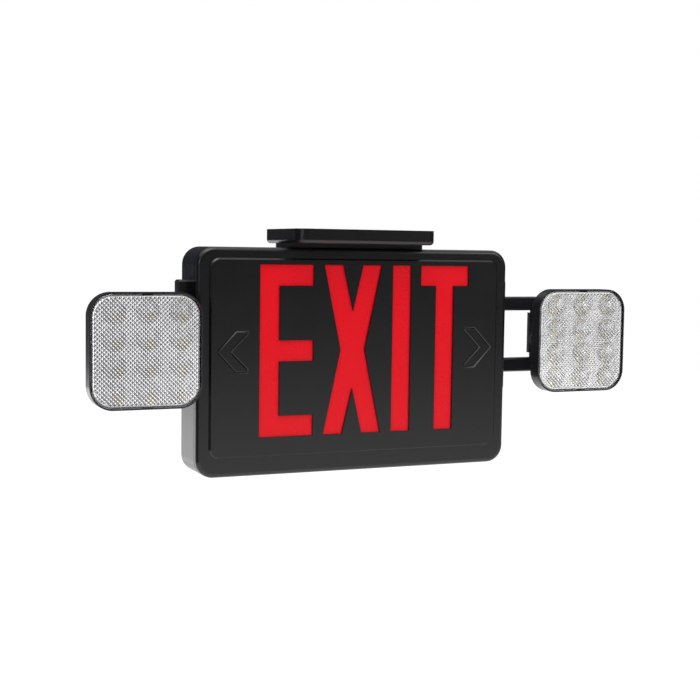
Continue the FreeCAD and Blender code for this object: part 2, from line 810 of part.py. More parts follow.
def tilt_screw(crossbar_x):
    """Screw that the head tilts on."""
    start = crossbar_x - ear_outer() - nut_t
    shank = rod((start, tilt_y, head_z), (1, 0, 0), tilt_screw_r, 2 * ear_outer() + nut_t)
    head = rod((crossbar_x + ear_outer(), tilt_y, head_z), (1, 0, 0), tilt_head_r, tilt_head_t)
    return join([shank, head])


def tilt_nut(crossbar_x):
    """Hexagonal nut on the tilt screw."""
    corner = nut_across / math.sqrt(3)
    points = [V(crossbar_x - ear_outer() - nut_t, tilt_y + corner * math.cos(math.radians(60 * i)),
                head_z + corner * math.sin(math.radians(60 * i))) for i in range(7)]
    blank = Part.Face(Part.makePolygon(points)).extrude(V(nut_t, 0, 0))
    hole_r = tilt_screw_r + SEAT / 2
    return blank.cut(rod((crossbar_x - 2 * lug_len, tilt_y, head_z), (1, 0, 0), hole_r, 3 * lug_len))


# ---- lamp heads, built on the right-hand side ---------------------------------------------------------
def screw_spots(head_x):
    """(x, z) of the two screws, on a diagonal between the cups."""
    return [(head_x + i * cup_pitch_x / 2, head_z + i * cup_pitch_z) for i in (-1, 1)]


def cup_places(head_x):
    """(x, z) of every cup and lamp."""
    places = []
    for i in range(cup_columns):
        for k in range(cup_rows):
            x = head_x + (i - (cup_columns - 1) / 2) * cup_pitch_x
            z = head_z + (k - (cup_rows - 1) / 2) * cup_pitch_z
            places.append((x, z))
    return places


def head_shell(crossbar_x):
    """Moulded bucket of a lamp head, with a stepped mouth for the lens and two ears behind."""
    x = crossbar_x + head_reach
    body = upright_plate(head_w, head_h, head_r, (head_front_y, shell_rear_y), x=x, z=head_z)
    body = body.makeChamfer(shell_bevel, edges_in_plane(body, 1, shell_rear_y))
    ears = []
    for side in (-1, 1):
        ear_x = around(crossbar_x + side * (lug_len / 2 + GAP + ear_t / 2), ear_t)
        ears.append(block(ear_x, (shell_rear_y - WELD, tilt_y), around(head_z, 2 * lug_r)))
        ears.append(rod((ear_x[0], tilt_y, head_z), (1, 0, 0), lug_r, ear_t))
    body = join([body] + ears)
    mouth = upright_plate(head_w - 2 * rim_t, head_h - 2 * rim_t, head_r - rim_t, (head_front_y - 1, seat_y),
                          x=x, z=head_z)
    inside = upright_plate(head_w - 2 * shell_wall, head_h - 2 * shell_wall, head_r - shell_wall,
                           (head_front_y - 1, shell_floor_y), x=x, z=head_z)
    bore = rod((crossbar_x - 2 * lug_len, tilt_y, head_z), (1, 0, 0), tilt_screw_r, 4 * lug_len)
    hole_y = shell_floor_y - 1
    holes = [rod((sx, hole_y, sz), (0, 1, 0), head_screw_r, shell_wall + 2) for sx, sz in screw_spots(x)]
    return cut_all(body, [mouth, inside, bore] + holes)


def faceted_cup(x, z, depth):
    """Flared cup with flat facets, open at the front, as a tool to cut with."""
    turns = [2 * math.pi * i / cup_facets for i in range(cup_facets)]
    ring = [(math.cos(turn), math.sin(turn)) for turn in turns]
    mouth = [V(x + cup_mouth_r * u, seat_y, z + cup_mouth_r * w) for u, w in ring]
    base = [V(x + cup_base_r * u, seat_y + depth, z + cup_base_r * w) for u, w in ring]
    outlines = [mouth, base]
    for i in range(cup_facets):
        outlines.append([mouth[i - 1], mouth[i], base[i], base[i - 1]])
    faces = [Part.Face(Part.makePolygon(outline + outline[:1])) for outline in outlines]
    return Part.Solid(Part.makeShell(faces))


def head_reflector(crossbar_x):
    """Bright plate with a flared cup round each lamp."""
    x = crossbar_x + head_reach
    trim = 2 * (shell_wall + SEAT)
    plate = upright_plate(head_w - trim, head_h - trim, head_r - trim / 2, (seat_y, led_board_y), x=x, z=head_z)
    depth = led_board_y - seat_y
    cups = [faceted_cup(cx, cz, depth) for cx, cz in cup_places(x)]
    hole_y = led_board_y - head_screw_bite - 1
    holes = [rod((sx, hole_y, sz), (0, 1, 0), head_screw_r, head_screw_bite + 2) for sx, sz in screw_spots(x)]
    return cut_all(plate, cups + holes)


def head_led_board(crossbar_x):
    """Lamp circuit board on the floor of the shell."""
    x = crossbar_x + head_reach
    trim = 2 * (shell_wall + SEAT)
    board_y_span = (led_board_y, shell_floor_y)
    board = upright_plate(head_w - trim, head_h - trim, head_r - trim / 2, board_y_span, x=x, z=head_z)
    hole_y = led_board_y - 1
    holes = [rod((sx, hole_y, sz), (0, 1, 0), head_screw_r, led_board_t + 2) for sx, sz in screw_spots(x)]
    return cut_all(board, holes)


def head_leds(crossbar_x):
    """One lamp at the bottom of each cup."""
    lamps = []
    for x, z in cup_places(crossbar_x + head_reach):
        lamps.append(block(around(x, led_size), (led_board_y - led_h, led_board_y), around(z, led_size)))
    return Part.makeCompound(lamps)


def head_lens(crossbar_x):
    """Clear cover with a rounded edge, a seating skirt and a snap notch at top and bottom."""
    x = crossbar_x + head_reach
    trim = rim_t + SEAT
    front = head_front_y - lens_proud
    lens = upright_plate(head_w - 2 * trim, head_h - 2 * trim, head_r - trim, (front, seat_y), x=x, z=head_z)
    lens = lens.makeChamfer(lens_bevel, edges_in_plane(lens, 1, front))
    inset = trim + lens_skirt
    hollow = upright_plate(head_w - 2 * inset, head_h - 2 * inset, head_r - inset, (front + lens_t, seat_y + 1),
                           x=x, z=head_z)
    notches = []
    for side in (-1, 1):
        edge = head_z + side * (head_h / 2 - trim)
        notch_y = (front - 1, head_front_y + lens_notch_step)
        notches.append(block(around(x, lens_notch_w), notch_y, around(edge, 2 * lens_notch_d)))
    return cut_all(lens, [hollow] + notches)


def head_screws(crossbar_x):
    """Two screws from behind that hold the board and the reflector."""
    screws = []
    for x, z in screw_spots(crossbar_x + head_reach):
        tip_y = led_board_y - head_screw_bite
        shank = rod((x, tip_y, z), (0, 1, 0), head_screw_r - RUN, shell_rear_y + WELD - tip_y)
        head = rod((x, shell_rear_y, z), (0, 1, 0), head_screw_head_r, head_screw_head_t)
        screws.append(head.fuse(shank).removeSplitter())
    return Part.makeCompound(screws)


# ---- output -----------------------------------------------------------------------------------------
def save(name, shape):
    """Write one node's STEP file."""
    shape.exportStep("parts/" + name + ".step")


def mirrored(shape):
    """The same shape on the left-hand side."""
    return shape.mirror(V(0, 0, 0), V(1, 0, 0))


def save_sign():
    """Everything that hangs from the canopy and doesn't move."""
    save("canopy", canopy())
    save("rear_housing", rear_housing())
    save("front_cover", front_cover())
    save("red_diffuser", red_diffuser())
    save("reflector_tray", reflector_tray())
    for name, side in (("upper", 1), ("lower", -1)):
        save(name + "_led_strip", led_strip(side))
        save(name + "_sign_leds", sign_leds(side))
    save("charger_board", charger_board())
    save("board_screws", board_screws())
    save("transformer", transformer())
    save("relay", relay())
    save("board_capacitors", board_capacitors())
    save("terminal_block", terminal_block())
    save("test_switch", test_switch())
    save("battery_pack", battery_pack())
    save("battery_strap", battery_strap())
    save("strap_screws", strap_screws())
    save("battery_lead", battery_lead())
    save("sign_lead", sign_lead())
    save("charge_indicator", charge_indicator())
    save("test_button", test_button())


def save_side(name, place, crossbar_x, slip):
    """One arm with its guide, and its knuckle and lamp head slipped up or down the crossbar."""
    save(name + "_arm_guide", place(arm_guide()))
    save(name + "_arm", place(arm(crossbar_x)))
    for piece in (swivel_knuckle, tilt_screw, tilt_nut, head_shell, head_reflector, head_led_board,
                  head_leds, head_lens, head_screws):
        save(name + "_" + piece.__name__, place(piece(crossbar_x)).translated(V(0, 0, slip)))


save_sign()
save_side("right", lambda shape: shape, crossbar_out, head_slip)
save_side("left", mirrored, crossbar_in, -head_slip)
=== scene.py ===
"""Emergency exit light: the finished look of the sign, its ceiling canopy and its two lamp heads.

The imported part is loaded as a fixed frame. This script adds what moulding, metallising and printing
give the real pieces: the letter openings and knock-out chevrons of the front cover, the prisms of
the lamp lenses, soft moulded edges, and a material for every piece.

Metres, in the part's frame: -Y is the lettered front, +X the reader's right, +Z up.
"""
import json
import logging
import math
from dataclasses import dataclass, field
from enum import Enum

import bpy
from mathutils import Matrix, Vector


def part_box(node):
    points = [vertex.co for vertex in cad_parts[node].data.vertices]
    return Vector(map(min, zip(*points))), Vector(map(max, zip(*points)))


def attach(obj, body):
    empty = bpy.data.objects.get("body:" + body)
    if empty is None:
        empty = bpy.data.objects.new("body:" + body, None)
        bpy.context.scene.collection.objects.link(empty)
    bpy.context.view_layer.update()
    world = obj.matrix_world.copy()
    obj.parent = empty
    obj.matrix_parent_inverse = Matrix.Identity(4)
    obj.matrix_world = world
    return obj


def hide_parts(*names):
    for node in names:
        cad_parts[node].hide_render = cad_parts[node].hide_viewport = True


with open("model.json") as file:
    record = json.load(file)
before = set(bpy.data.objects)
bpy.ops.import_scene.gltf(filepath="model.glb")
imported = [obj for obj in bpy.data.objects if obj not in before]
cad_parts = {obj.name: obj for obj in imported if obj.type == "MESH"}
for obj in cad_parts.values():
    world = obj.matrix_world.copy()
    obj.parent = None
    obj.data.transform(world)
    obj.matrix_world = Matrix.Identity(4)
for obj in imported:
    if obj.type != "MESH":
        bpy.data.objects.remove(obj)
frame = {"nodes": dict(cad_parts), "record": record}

log = logging.getLogger("exit_light")

MM = 0.001
MERGE_DISTANCE = 0.002 * MM
SMOOTH_BELOW_DEG = 32.0

Outline = list[tuple[float, float]]
Place = tuple[float, float, float]


# ---- small helpers ------------------------------------------------------------------------------
def linear(code: str, alpha: float = 1.0) -> tuple[float, float, float, float]:
    """Turn an sRGB hex colour into linear light.

    Args:
        code: colour as "#rrggbb".
        alpha: fourth value of the result.

    Returns:
        Linear red, green and blue, and alpha.
    """
    values = [int(code[i : i + 2], 16) / 255 for i in (1, 3, 5)]
    lit = [v / 12.92 if v <= 0.04045 else ((v + 0.055) / 1.055) ** 2.4 for v in values]
    return (lit[0], lit[1], lit[2], alpha)


def add_node(
    tree: bpy.types.NodeTree,
    kind: str,
    inputs: dict[str | int, object] | None = None,
    **settings: object,
) -> bpy.types.Node:
    """Add a shader node with its settings and inputs.

    Args:
        tree: node tree that gets the node.
        kind: Blender's type name of the node.
        inputs: value or source socket for each input, by its name or number.
        settings: the node's own properties.

    Returns:
        The new node.
    """
    node = tree.nodes.new(kind)
    for name, value in settings.items():
        setattr(node, name, value)
    for name, value in (inputs or {}).items():
        if isinstance(value, bpy.types.NodeSocket):
            tree.links.new(value, node.inputs[name])
        else:
            node.inputs[name].default_value = value
    return node


def add_tint(
    tree: bpy.types.NodeTree, share: bpy.types.NodeSocket, colour: str, shade: str
) -> bpy.types.NodeSocket:
    """Blend two colours of a finish by a pattern.

    Args:
        tree: node tree that gets the blend.
        share: pattern, 0 for the first colour and 1 for the second.
        colour: first colour, as hex.
        shade: second colour, as hex.

    Returns:
        Socket with the blended colour.
    """
    tint = add_node(tree, "ShaderNodeMix", {0: share}, data_type="RGBA")
    tint.inputs[6].default_value = linear(colour)
    tint.inputs[7].default_value = linear(shade)
    return tint.outputs[2]


def empty_material(name: str) -> bpy.types.Material:
    """Make a node material with no nodes in it."""
    material = bpy.data.materials.new(name)
    material.use_nodes = True
    material.node_tree.nodes.clear()
    return material


def seen_directly(tree: bpy.types.NodeTree) -> bpy.types.NodeSocket:
    """Tell what the eye sees, straight or in a piece, from what only lends light.

    Args:
        tree: node tree that gets the nodes.

    Returns:
        Socket that is 1 to the camera, in gloss and through glass, and 0 otherwise.
    """
    ray = add_node(tree, "ShaderNodeLightPath")
    seen = ray.outputs["Is Camera Ray"]
    for kind in ("Is Glossy Ray", "Is Transmission Ray"):
        either = add_node(
            tree, "ShaderNodeMath", {0: seen, 1: ray.outputs[kind]}, operation="MAXIMUM"
        )
        seen = either.outputs[0]
    return seen


def select_only(obj: bpy.types.Object) -> None:
    """Select one object and nothing else, and make it active.

    Args:
        obj: object to select.
    """
    bpy.ops.object.select_all(action="DESELECT")
    obj.select_set(True)
    bpy.context.view_layer.objects.active = obj


def new_piece(name: str, mesh: bpy.types.Mesh) -> bpy.types.Object:
    """Put a mesh in the scene as an object at the origin.

    Args:
        name: object name.
        mesh: its mesh, in place.

    Returns:
        The object.
    """
    obj = bpy.data.objects.new(name, mesh)
    bpy.context.scene.collection.objects.link(obj)
    return obj


def copy_of_node(node: str, name: str) -> bpy.types.Object:
    """Copy a CAD node's mesh into a new piece and merge its loose triangles.

    Args:
        node: name of the CAD node.
        name: name of the new piece.

    Returns:
        The new piece, with no material.
    """
    obj = new_piece(name, frame["nodes"][node].data.copy())
    obj.data.materials.clear()
    select_only(obj)
    bpy.ops.object.mode_set(mode="EDIT")
    bpy.ops.mesh.select_all(action="SELECT")
    bpy.ops.mesh.customdata_custom_splitnormals_clear()
    bpy.ops.mesh.remove_doubles(threshold=MERGE_DISTANCE)
    bpy.ops.object.mode_set(mode="OBJECT")
    return obj


def apply_modifier(obj: bpy.types.Object, kind: str, **settings: object) -> None:
    """Add a modifier to a piece, set it and apply it.

    Args:
        obj: piece that gets the modifier.
        kind: Blender's type name of the modifier.
        settings: the modifier's own properties.
    """
    select_only(obj)
    modifier = obj.modifiers.new(kind.lower(), kind)
    for name, value in settings.items():
        setattr(modifier, name, value)
    bpy.ops.object.modifier_apply(modifier=modifier.name)


def soften(obj: bpy.types.Object, angle_deg: float = SMOOTH_BELOW_DEG) -> None:
    """Shade a moulded piece smooth over its rounded edges and keep its flat faces flat.

    Args:
        obj: piece to shade.
        angle_deg: edges sharper than this stay sharp.
    """
    select_only(obj)
    bpy.ops.object.shade_smooth_by_angle(angle=math.radians(angle_deg))
    apply_modifier(obj, "WEIGHTED_NORMAL", keep_sharp=True, weight=90)


def open_flat_outline(name: str, outline: Outline, front: float) -> bpy.types.Object:
    """Make one flat face from an outline in the XZ plane and open it in edit mode.

    Args:
        name: object name.
        outline: corners as (x, z) in metres, in order.
        front: Y of the face.

    Returns:
        The object, in edit mode with its face selected.
    """
    mesh = bpy.data.meshes.new(name)
    mesh.from_pydata([(x, front, z) for x, z in outline], [], [range(len(outline))])
    obj = new_piece(name, mesh)
    select_only(obj)
    bpy.ops.object.mode_set(mode="EDIT")
    bpy.ops.mesh.select_mode(type="FACE")
    bpy.ops.mesh.select_all(action="SELECT")
    return obj


def close_outward() -> None:
    """Turn every face of the piece in edit mode outwards and leave edit mode."""
    bpy.ops.mesh.select_all(action="SELECT")
    bpy.ops.mesh.normals_make_consistent(inside=False)
    bpy.ops.object.mode_set(mode="OBJECT")


def extrude_along_y(distance: float) -> None:
    """Extrude the selected faces along Y."""
    bpy.ops.mesh.extrude_region_move(TRANSFORM_OT_translate={"value": (0, distance, 0)})


def prism_from_outline(
    name: str, outline: Outline, front: float, rear: float, taper: float
) -> bpy.types.Object:
    """Make a closed prism from an outline, a little wider at its front end.

    Args:
        name: object name.
        outline: corners as (x, z) in metres, in order.
        front: Y of the front end.
        rear: Y of the rear end.
        taper: how far the outline shrinks just behind the front end, for a broken edge.

    Returns:
        The prism, used as a cutting tool.
    """
    obj = open_flat_outline(name, outline, front)
    extrude_along_y(rear - front)
    bpy.ops.transform.translate(value=(0, front + taper - rear, 0))
    bpy.ops.mesh.inset(thickness=taper, use_even_offset=True)
    extrude_along_y(rear - front - taper)
    close_outward()
    return obj


def vee_band(
    name: str, outline: Outline, front: float, width: float, depth: float
) -> bpy.types.Object:
    """Make a band that follows an outline on its inside, with a V-shaped floor.

    Args:
        name: object name.
        outline: corners as (x, z) in metres, in order.
        front: Y of the band's upper edges.
        width: width of the band.
        depth: depth of the V.

    Returns:
        The band, used as a cutting tool.
    """
    obj = open_flat_outline(name, outline, front)
    for sink in (depth, -depth):
        bpy.ops.mesh.inset(thickness=width / 2, use_even_offset=True)
        bpy.ops.transform.translate(value=(0, sink, 0))
    bpy.ops.mesh.delete(type="ONLY_FACE")
    bpy.ops.mesh.select_all(action="SELECT")
    extrude_along_y(-2 * depth)
    close_outward()
    return obj


def cut_away(obj: bpy.types.Object, tool: bpy.types.Object) -> None:
    """Cut a tool's shape out of a piece and throw the tool away."""
    apply_modifier(obj, "BOOLEAN", operation="DIFFERENCE", solver="EXACT", object=tool)
    bpy.data.objects.remove(tool)


# ---- finishes -----------------------------------------------------------------------------------
class Texture(Enum):
    """How a surface was made, which sets the pattern that its material draws."""

    SPARK_ERODED = "fine even grain from a spark-eroded mould"
    POLISHED = "faint flow marks from a polished mould"
    SPUN = "fine parallel tool lines"
    LAMINATED = "stacked sheet edges"
    MASKED = "printed mask over copper tracks"


COAT_ROUGHNESS = 0.12
SCATTER_DEPTH = 2 * MM
TOOL_LINE_STRETCH = 0.04     # of the pattern along Z, so that grain becomes lines
SHEET_TO_WAVE = 10           # a wave's scale counts in tenths of the sheet
PATCH_TO_GRAIN = 40          # wide patches of a moulded surface, against its grain
TRACK_EDGE = 0.06            # width of a track's edge, of the track


@dataclass(frozen=True)
class Finish:
    """One real material and how its surface was made."""

    name: str
    colour: str
    shade: str
    roughness: float
    texture: Texture = Texture.SPARK_ERODED
    size_mm: float = 0.6
    depth_mm: float = 0.01
    spread: float = 0.05
    metallic: float = 0.0
    ior: float = 1.5
    coat: float = 0.0
    subsurface: float = 0.0

    def make(self) -> bpy.types.Material:
        """Build the node material.

        Returns:
            The material, with its colour, roughness and height drawn from one pattern.
        """
        material = empty_material(self.name)
        tree = material.node_tree
        height = self._pattern(tree)
        low, high = self.roughness - self.spread, self.roughness + self.spread
        rough = add_node(
            tree, "ShaderNodeMapRange", {"Value": height, "To Min": low, "To Max": high}
        )
        bump = add_node(
            tree, "ShaderNodeBump",
            {"Height": height, "Strength": 1.0, "Distance": self.depth_mm * MM},
        )
        shader = add_node(
            tree, "ShaderNodeBsdfPrincipled",
            {
                "Base Color": add_tint(tree, height, self.colour, self.shade),
                "Roughness": rough.outputs[0],
                "Normal": bump.outputs[0],
                "Metallic": self.metallic,
                "Coat Weight": self.coat,
                "Coat Roughness": COAT_ROUGHNESS,
                "Subsurface Weight": self.subsurface,
                "Subsurface Scale": SCATTER_DEPTH,
            },
        )
        if not self.metallic:
            shader.inputs["IOR"].default_value = self.ior
        add_node(tree, "ShaderNodeOutputMaterial", {"Surface": shader.outputs[0]})
        return material

    def _pattern(self, tree: bpy.types.NodeTree) -> bpy.types.NodeSocket:
        """Draw the surface pattern at its real size.

        Args:
            tree: material's node tree.

        Returns:
            Socket with the pattern's height, 0 to 1.
        """
        place = add_node(tree, "ShaderNodeTexCoord").outputs["Object"]
        per_metre = 1 / (self.size_mm * MM)
        if self.texture is Texture.SPUN:
            stretched = add_node(
                tree, "ShaderNodeMapping", {0: place, 3: (1, 1, TOOL_LINE_STRETCH)}
            )
            place = stretched.outputs[0]
        if self.texture is Texture.LAMINATED:
            sheets = add_node(
                tree, "ShaderNodeTexWave",
                {"Vector": place, "Scale": per_metre / SHEET_TO_WAVE, "Distortion": 0.3},
                bands_direction="Z",
            )
            return sheets.outputs["Fac"]
        if self.texture is Texture.MASKED:
            tracks = add_node(
                tree, "ShaderNodeTexBrick",
                {
                    "Vector": place,
                    "Scale": per_metre,
                    "Color1": (0, 0, 0, 1),
                    "Color2": (0.25, 0.25, 0.25, 1),
                    "Mortar": (1, 1, 1, 1),
                    "Mortar Size": TRACK_EDGE,
                },
            )
            return tracks.outputs["Fac"]
        grain = add_node(
            tree, "ShaderNodeTexNoise",
            {"Vector": place, "Scale": per_metre, "Detail": 2.0, "Roughness": 0.5},
        )
        if self.texture is Texture.POLISHED:
            return grain.outputs["Fac"]
        patches = add_node(
            tree, "ShaderNodeTexNoise",
            {"Vector": place, "Scale": per_metre / PATCH_TO_GRAIN, "Detail": 1.0},
        )
        both = add_node(
            tree, "ShaderNodeMath", {0: grain.outputs["Fac"], 1: patches.outputs["Fac"]},
            operation="ADD",
        )
        half = add_node(
            tree, "ShaderNodeMath", {0: both.outputs[0], 1: 0.5}, operation="MULTIPLY"
        )
        return half.outputs[0]


@dataclass(frozen=True)
class ClearPolycarbonate:
    """Clear moulded polycarbonate, with painted shade at the pyramids' tips standing in for the light
    that they send back inside.

    How far the painted shade reaches down from a tip changes slowly over the lens, as the real lens's
    shading does, where the light comes from all round.
    """

    name: str = "clear_moulded_polycarbonate"
    colour: str = "#fdfdfd"
    # painted shade: grey given to the pyramids' tips for the light lost inside them
    painted_tip_shade_colour: str = "#909092"
    lamp_light: str = "#e8e9ee"
    roughness: float = 0.06
    roughness_swing: float = 0.4
    ior: float = 1.585
    flow_mm: float = 12.0
    reach_mm: float = 9.0
    reach_noise: tuple[float, float] = (0.35, 0.65)
    onset: tuple[float, float] = (0.55, 0.3)
    fade: float = 0.25

    def make(self) -> bpy.types.Material:
        """Build the material, which lets lamp light through to the reflector behind it.

        Returns:
            The material.
        """
        material = empty_material(self.name)
        tree = material.node_tree
        place = add_node(tree, "ShaderNodeTexCoord").outputs["Object"]
        flow = add_node(
            tree, "ShaderNodeTexNoise",
            {"Vector": place, "Scale": 1 / (self.flow_mm * MM), "Detail": 2.0},
        )
        rough = add_node(
            tree, "ShaderNodeMapRange",
            {
                "Value": flow.outputs["Fac"],
                "To Min": self.roughness * (1 - self.roughness_swing),
                "To Max": self.roughness * (1 + self.roughness_swing),
            },
        )
        # the base colour carries painted shade at the pyramids' tips
        clear = add_node(
            tree, "ShaderNodeBsdfPrincipled",
            {
                "Base Color": add_tint(tree, self._painted_tip_shade(tree, place), self.colour, self.painted_tip_shade_colour),
                "Roughness": rough.outputs[0],
                "IOR": self.ior,
                "Transmission Weight": 1.0,
            },
        )
        through = add_node(tree, "ShaderNodeBsdfTransparent", {"Color": linear(self.lamp_light)})
        ray = add_node(tree, "ShaderNodeLightPath")
        surface = add_node(
            tree, "ShaderNodeMixShader",
            {0: ray.outputs["Is Shadow Ray"], 1: clear.outputs[0], 2: through.outputs[0]},
        )
        add_node(tree, "ShaderNodeOutputMaterial", {"Surface": surface.outputs[0]})
        return material

    def _painted_tip_shade(
        self, tree: bpy.types.NodeTree, place: bpy.types.NodeSocket
    ) -> bpy.types.NodeSocket:
        """Find how much painted shade the lens gets at each place.

        Args:
            tree: material's node tree.
            place: Object coordinates.

        Returns:
            Socket that is 1 where the painted shade is full, at a pyramid's tip, and 0 where the lens
            is clear.
        """
        tip = add_node(tree, "ShaderNodeAttribute", attribute_name="tip")
        reach = add_node(
            tree, "ShaderNodeTexNoise",
            {"Vector": place, "Scale": 1 / (self.reach_mm * MM), "Detail": 1.0},
        )
        onset = add_node(
            tree, "ShaderNodeMapRange",
            {
                "Value": reach.outputs["Fac"],
                "From Min": self.reach_noise[0],
                "From Max": self.reach_noise[1],
                "To Min": self.onset[0],
                "To Max": self.onset[1],
            },
        )
        nearness = add_node(
            tree, "ShaderNodeMath", {0: tip.outputs["Fac"], 1: onset.outputs[0]},
            operation="SUBTRACT",
        )
        # painted shade, full at the tips and fading away from them
        tip_shade = add_node(
            tree, "ShaderNodeMapRange",
            {
                "Value": nearness.outputs[0],
                "From Min": 0.0,
                "From Max": self.fade,
                "To Min": 0.0,
                "To Max": 1.0,
            },
        )
        return tip_shade.outputs[0]


# Black ABS from a spark-eroded mould: a satin black, grain of about 0.1 mm drawn at 0.5 mm to show.
SATIN_ABS = Finish(
    "satin_moulded_black_abs", "#0b0b0c", "#0e0e0f", 0.25,
    size_mm=0.5, depth_mm=0.003, spread=0.03,
)
# Arms and knuckles come from a polished mould: black, clear reflections, faint flow marks.
GLOSS_ABS = Finish(
    "gloss_moulded_black_abs", "#1e1e21", "#232326", 0.24, Texture.POLISHED, 9.0, 0.01, 0.03
)
# Cast acrylic diffuser with a matt face: strong even red that glows a little at its edges.
RED_ACRYLIC = Finish(
    "matt_cast_red_acrylic", "#e60018", "#e20016", 0.27,
    size_mm=0.9, depth_mm=0.003, ior=1.36, subsurface=0.04,
)
# High-impact polystyrene tray: soft white that spreads the light.
WHITE_TRAY = Finish("moulded_white_polystyrene", "#e9e9e4", "#dfdfd9", 0.5, ior=1.59)
# Vacuum-metallised plastic: a bright mirror with a slight orange peel from the lacquer.
METALLISED = Finish(
    "vacuum_metallised_abs", "#f5f5f5", "#efefef", 0.26, Texture.POLISHED, 3.0, 0.02, 0.04, 1.0
)
# Aluminium-backed board with white solder mask, which shows its wide tracks as low ridges.
WHITE_BOARD = Finish(
    "white_masked_circuit_board", "#e8e8e2", "#d5d6cf", 0.35, Texture.MASKED, 9.0, 0.03
)
# Glass-fibre board with green solder mask: deep green, lighter over the copper tracks.
GREEN_BOARD = Finish(
    "green_masked_circuit_board", "#14532d", "#1f7a45", 0.33, Texture.MASKED, 6.0, 0.03
)
# Phosphor over a blue chip under silicone: a dense yellow with a wet shine.
LED_PHOSPHOR = Finish(
    "silicone_over_phosphor", "#e6c33a", "#f2d75e", 0.18, Texture.POLISHED, 0.8, 0.01, ior=1.41
)
# Tinted clear epoxy of the sign's own lamps: a deep wet red.
LED_RED = Finish(
    "clear_red_epoxy", "#b3121c", "#c92630", 0.16, Texture.POLISHED, 0.8, 0.01, ior=1.52
)
# Bright zinc plate on steel screws: pale bluish metal with fine turned lines.
ZINC_STEEL = Finish(
    "bright_zinc_plated_steel", "#c3c5c9", "#a9acb2", 0.28, Texture.SPUN, 0.25, 0.004, 0.08, 1.0
)
# Black oxide on steel: a dark metal that still shows its machining.
OXIDE_STEEL = Finish(
    "black_oxide_steel", "#2c2c2e", "#1d1d1f", 0.38, Texture.SPUN, 0.3, 0.004, 0.06, 0.8
)
# Transformer core of varnished silicon steel: grey-brown edges of sheets 0.5 mm thick.
CORE_STEEL = Finish(
    "varnished_laminated_steel", "#5d5a57", "#3b3937", 0.42,
    Texture.LAMINATED, 1.0, 0.05, 0.08, 0.7,
)
# Glass-filled polyester cases of relay and switch: dull black with a visible grain.
RELAY_CASE = Finish("moulded_black_polyester", "#1a1a1b", "#232325", 0.45, size_mm=0.4)
# Drawn aluminium can in a clear shrunk sleeve: soft grey with lines round it.
CAPACITOR_SLEEVE = Finish(
    "sleeved_aluminium_can", "#8a8f96", "#9aa0a8", 0.3, Texture.SPUN, 0.8, 0.004, 0.05, 0.6
)
# Polyamide terminal block: an even mid green with a dull sheen.
TERMINAL_GREEN = Finish("moulded_green_polyamide", "#1f7a45", "#1b6f3e", 0.4, ior=1.53)
# Thin PVC shrunk round the cells: glossy blue with slight waves.
BATTERY_WRAP = Finish(
    "heat_shrunk_blue_pvc", "#1d4f91", "#26599c", 0.28, Texture.POLISHED, 4.0, 0.05, ior=1.53
)
# Rolled galvanised strip: grey metal with faint rolling lines.
STRAP_STEEL = Finish(
    "rolled_galvanised_steel", "#a8acb0", "#8d9196", 0.36, Texture.SPUN, 0.5, 0.005, 0.07, 1.0
)
# Extruded PVC insulation: smooth waxy red.
LEAD_PVC = Finish(
    "extruded_red_pvc", "#a3161c", "#b32028", 0.34, Texture.POLISHED, 2.0, 0.01, ior=1.53
)
# Moulded ABS push button: plain red with a soft highlight.
BUTTON_RED = Finish("moulded_red_abs", "#c1121f", "#b1101c", 0.3, size_mm=0.4, depth_mm=0.005)
# Clear green acrylic pilot lens: bright green with a sharp highlight.
INDICATOR_GREEN = Finish(
    "clear_green_acrylic", "#1fae54", "#2cc264", 0.14, Texture.POLISHED, 1.5, 0.01, ior=1.49
)

SLOT_FINISHES: dict[str, Finish | ClearPolycarbonate] = {
    "black_abs": SATIN_ABS,
    "black_arm": GLOSS_ABS,
    "red_acrylic": RED_ACRYLIC,
    "white_plastic": WHITE_TRAY,
    "clear_lens": ClearPolycarbonate(),
    "reflector_metal": METALLISED,
    "white_board": WHITE_BOARD,
    "green_board": GREEN_BOARD,
    "led_yellow": LED_PHOSPHOR,
    "led_red": LED_RED,
    "zinc_screw": ZINC_STEEL,
    "black_screw": OXIDE_STEEL,
    "core_steel": CORE_STEEL,
    "relay_black": RELAY_CASE,
    "capacitor_can": CAPACITOR_SLEEVE,
    "terminal_green": TERMINAL_GREEN,
    "battery_wrap": BATTERY_WRAP,
    "strap_steel": STRAP_STEEL,
    "lead_pvc": LEAD_PVC,
    "button_red": BUTTON_RED,
    "indicator_green": INDICATOR_GREEN,
}


@dataclass
class Dresser:
    """Gives CAD nodes and new pieces their finishes, by the record's material slots."""

    materials: dict[str, bpy.types.Material] = field(default_factory=dict)
    slots: dict[str, str] = field(default_factory=dict)
    bodies: dict[str, str] = field(default_factory=dict)

    def __post_init__(self) -> None:
        """Make every material and read each node's slot and body."""
        record = frame["record"]
        self.materials = {slot: finish.make() for slot, finish in SLOT_FINISHES.items()}
        self.slots = {part["node"]: part["material_slot"] for part in record["subparts"]}
        for body, nodes in record["behaviour"]["bodies"].items():
            for node in nodes:
                self.bodies[node] = body

    def dress(self, obj: bpy.types.Object, slot: str) -> None:
        """Put one slot's material on a mesh."""
        obj.data.materials.clear()
        obj.data.materials.append(self.materials[slot])

    def dress_node(self, node: str) -> None:
        """Give a CAD node its finish and leave its shape alone."""
        self.dress(frame["nodes"][node], self.slots[node])
        log.info("dressed %s as %s", node, self.slots[node])

    def stand_in(self, obj: bpy.types.Object, node: str) -> None:
        """Let a new piece stand for a CAD node, on its body and in its slot.

        Args:
            obj: finished piece at rest.
            node: node that it replaces.
        """
        self.dress(obj, self.slots[node])
        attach(obj, self.bodies[node])
        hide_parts(node)
        log.info("built %s for %s", obj.name, node)


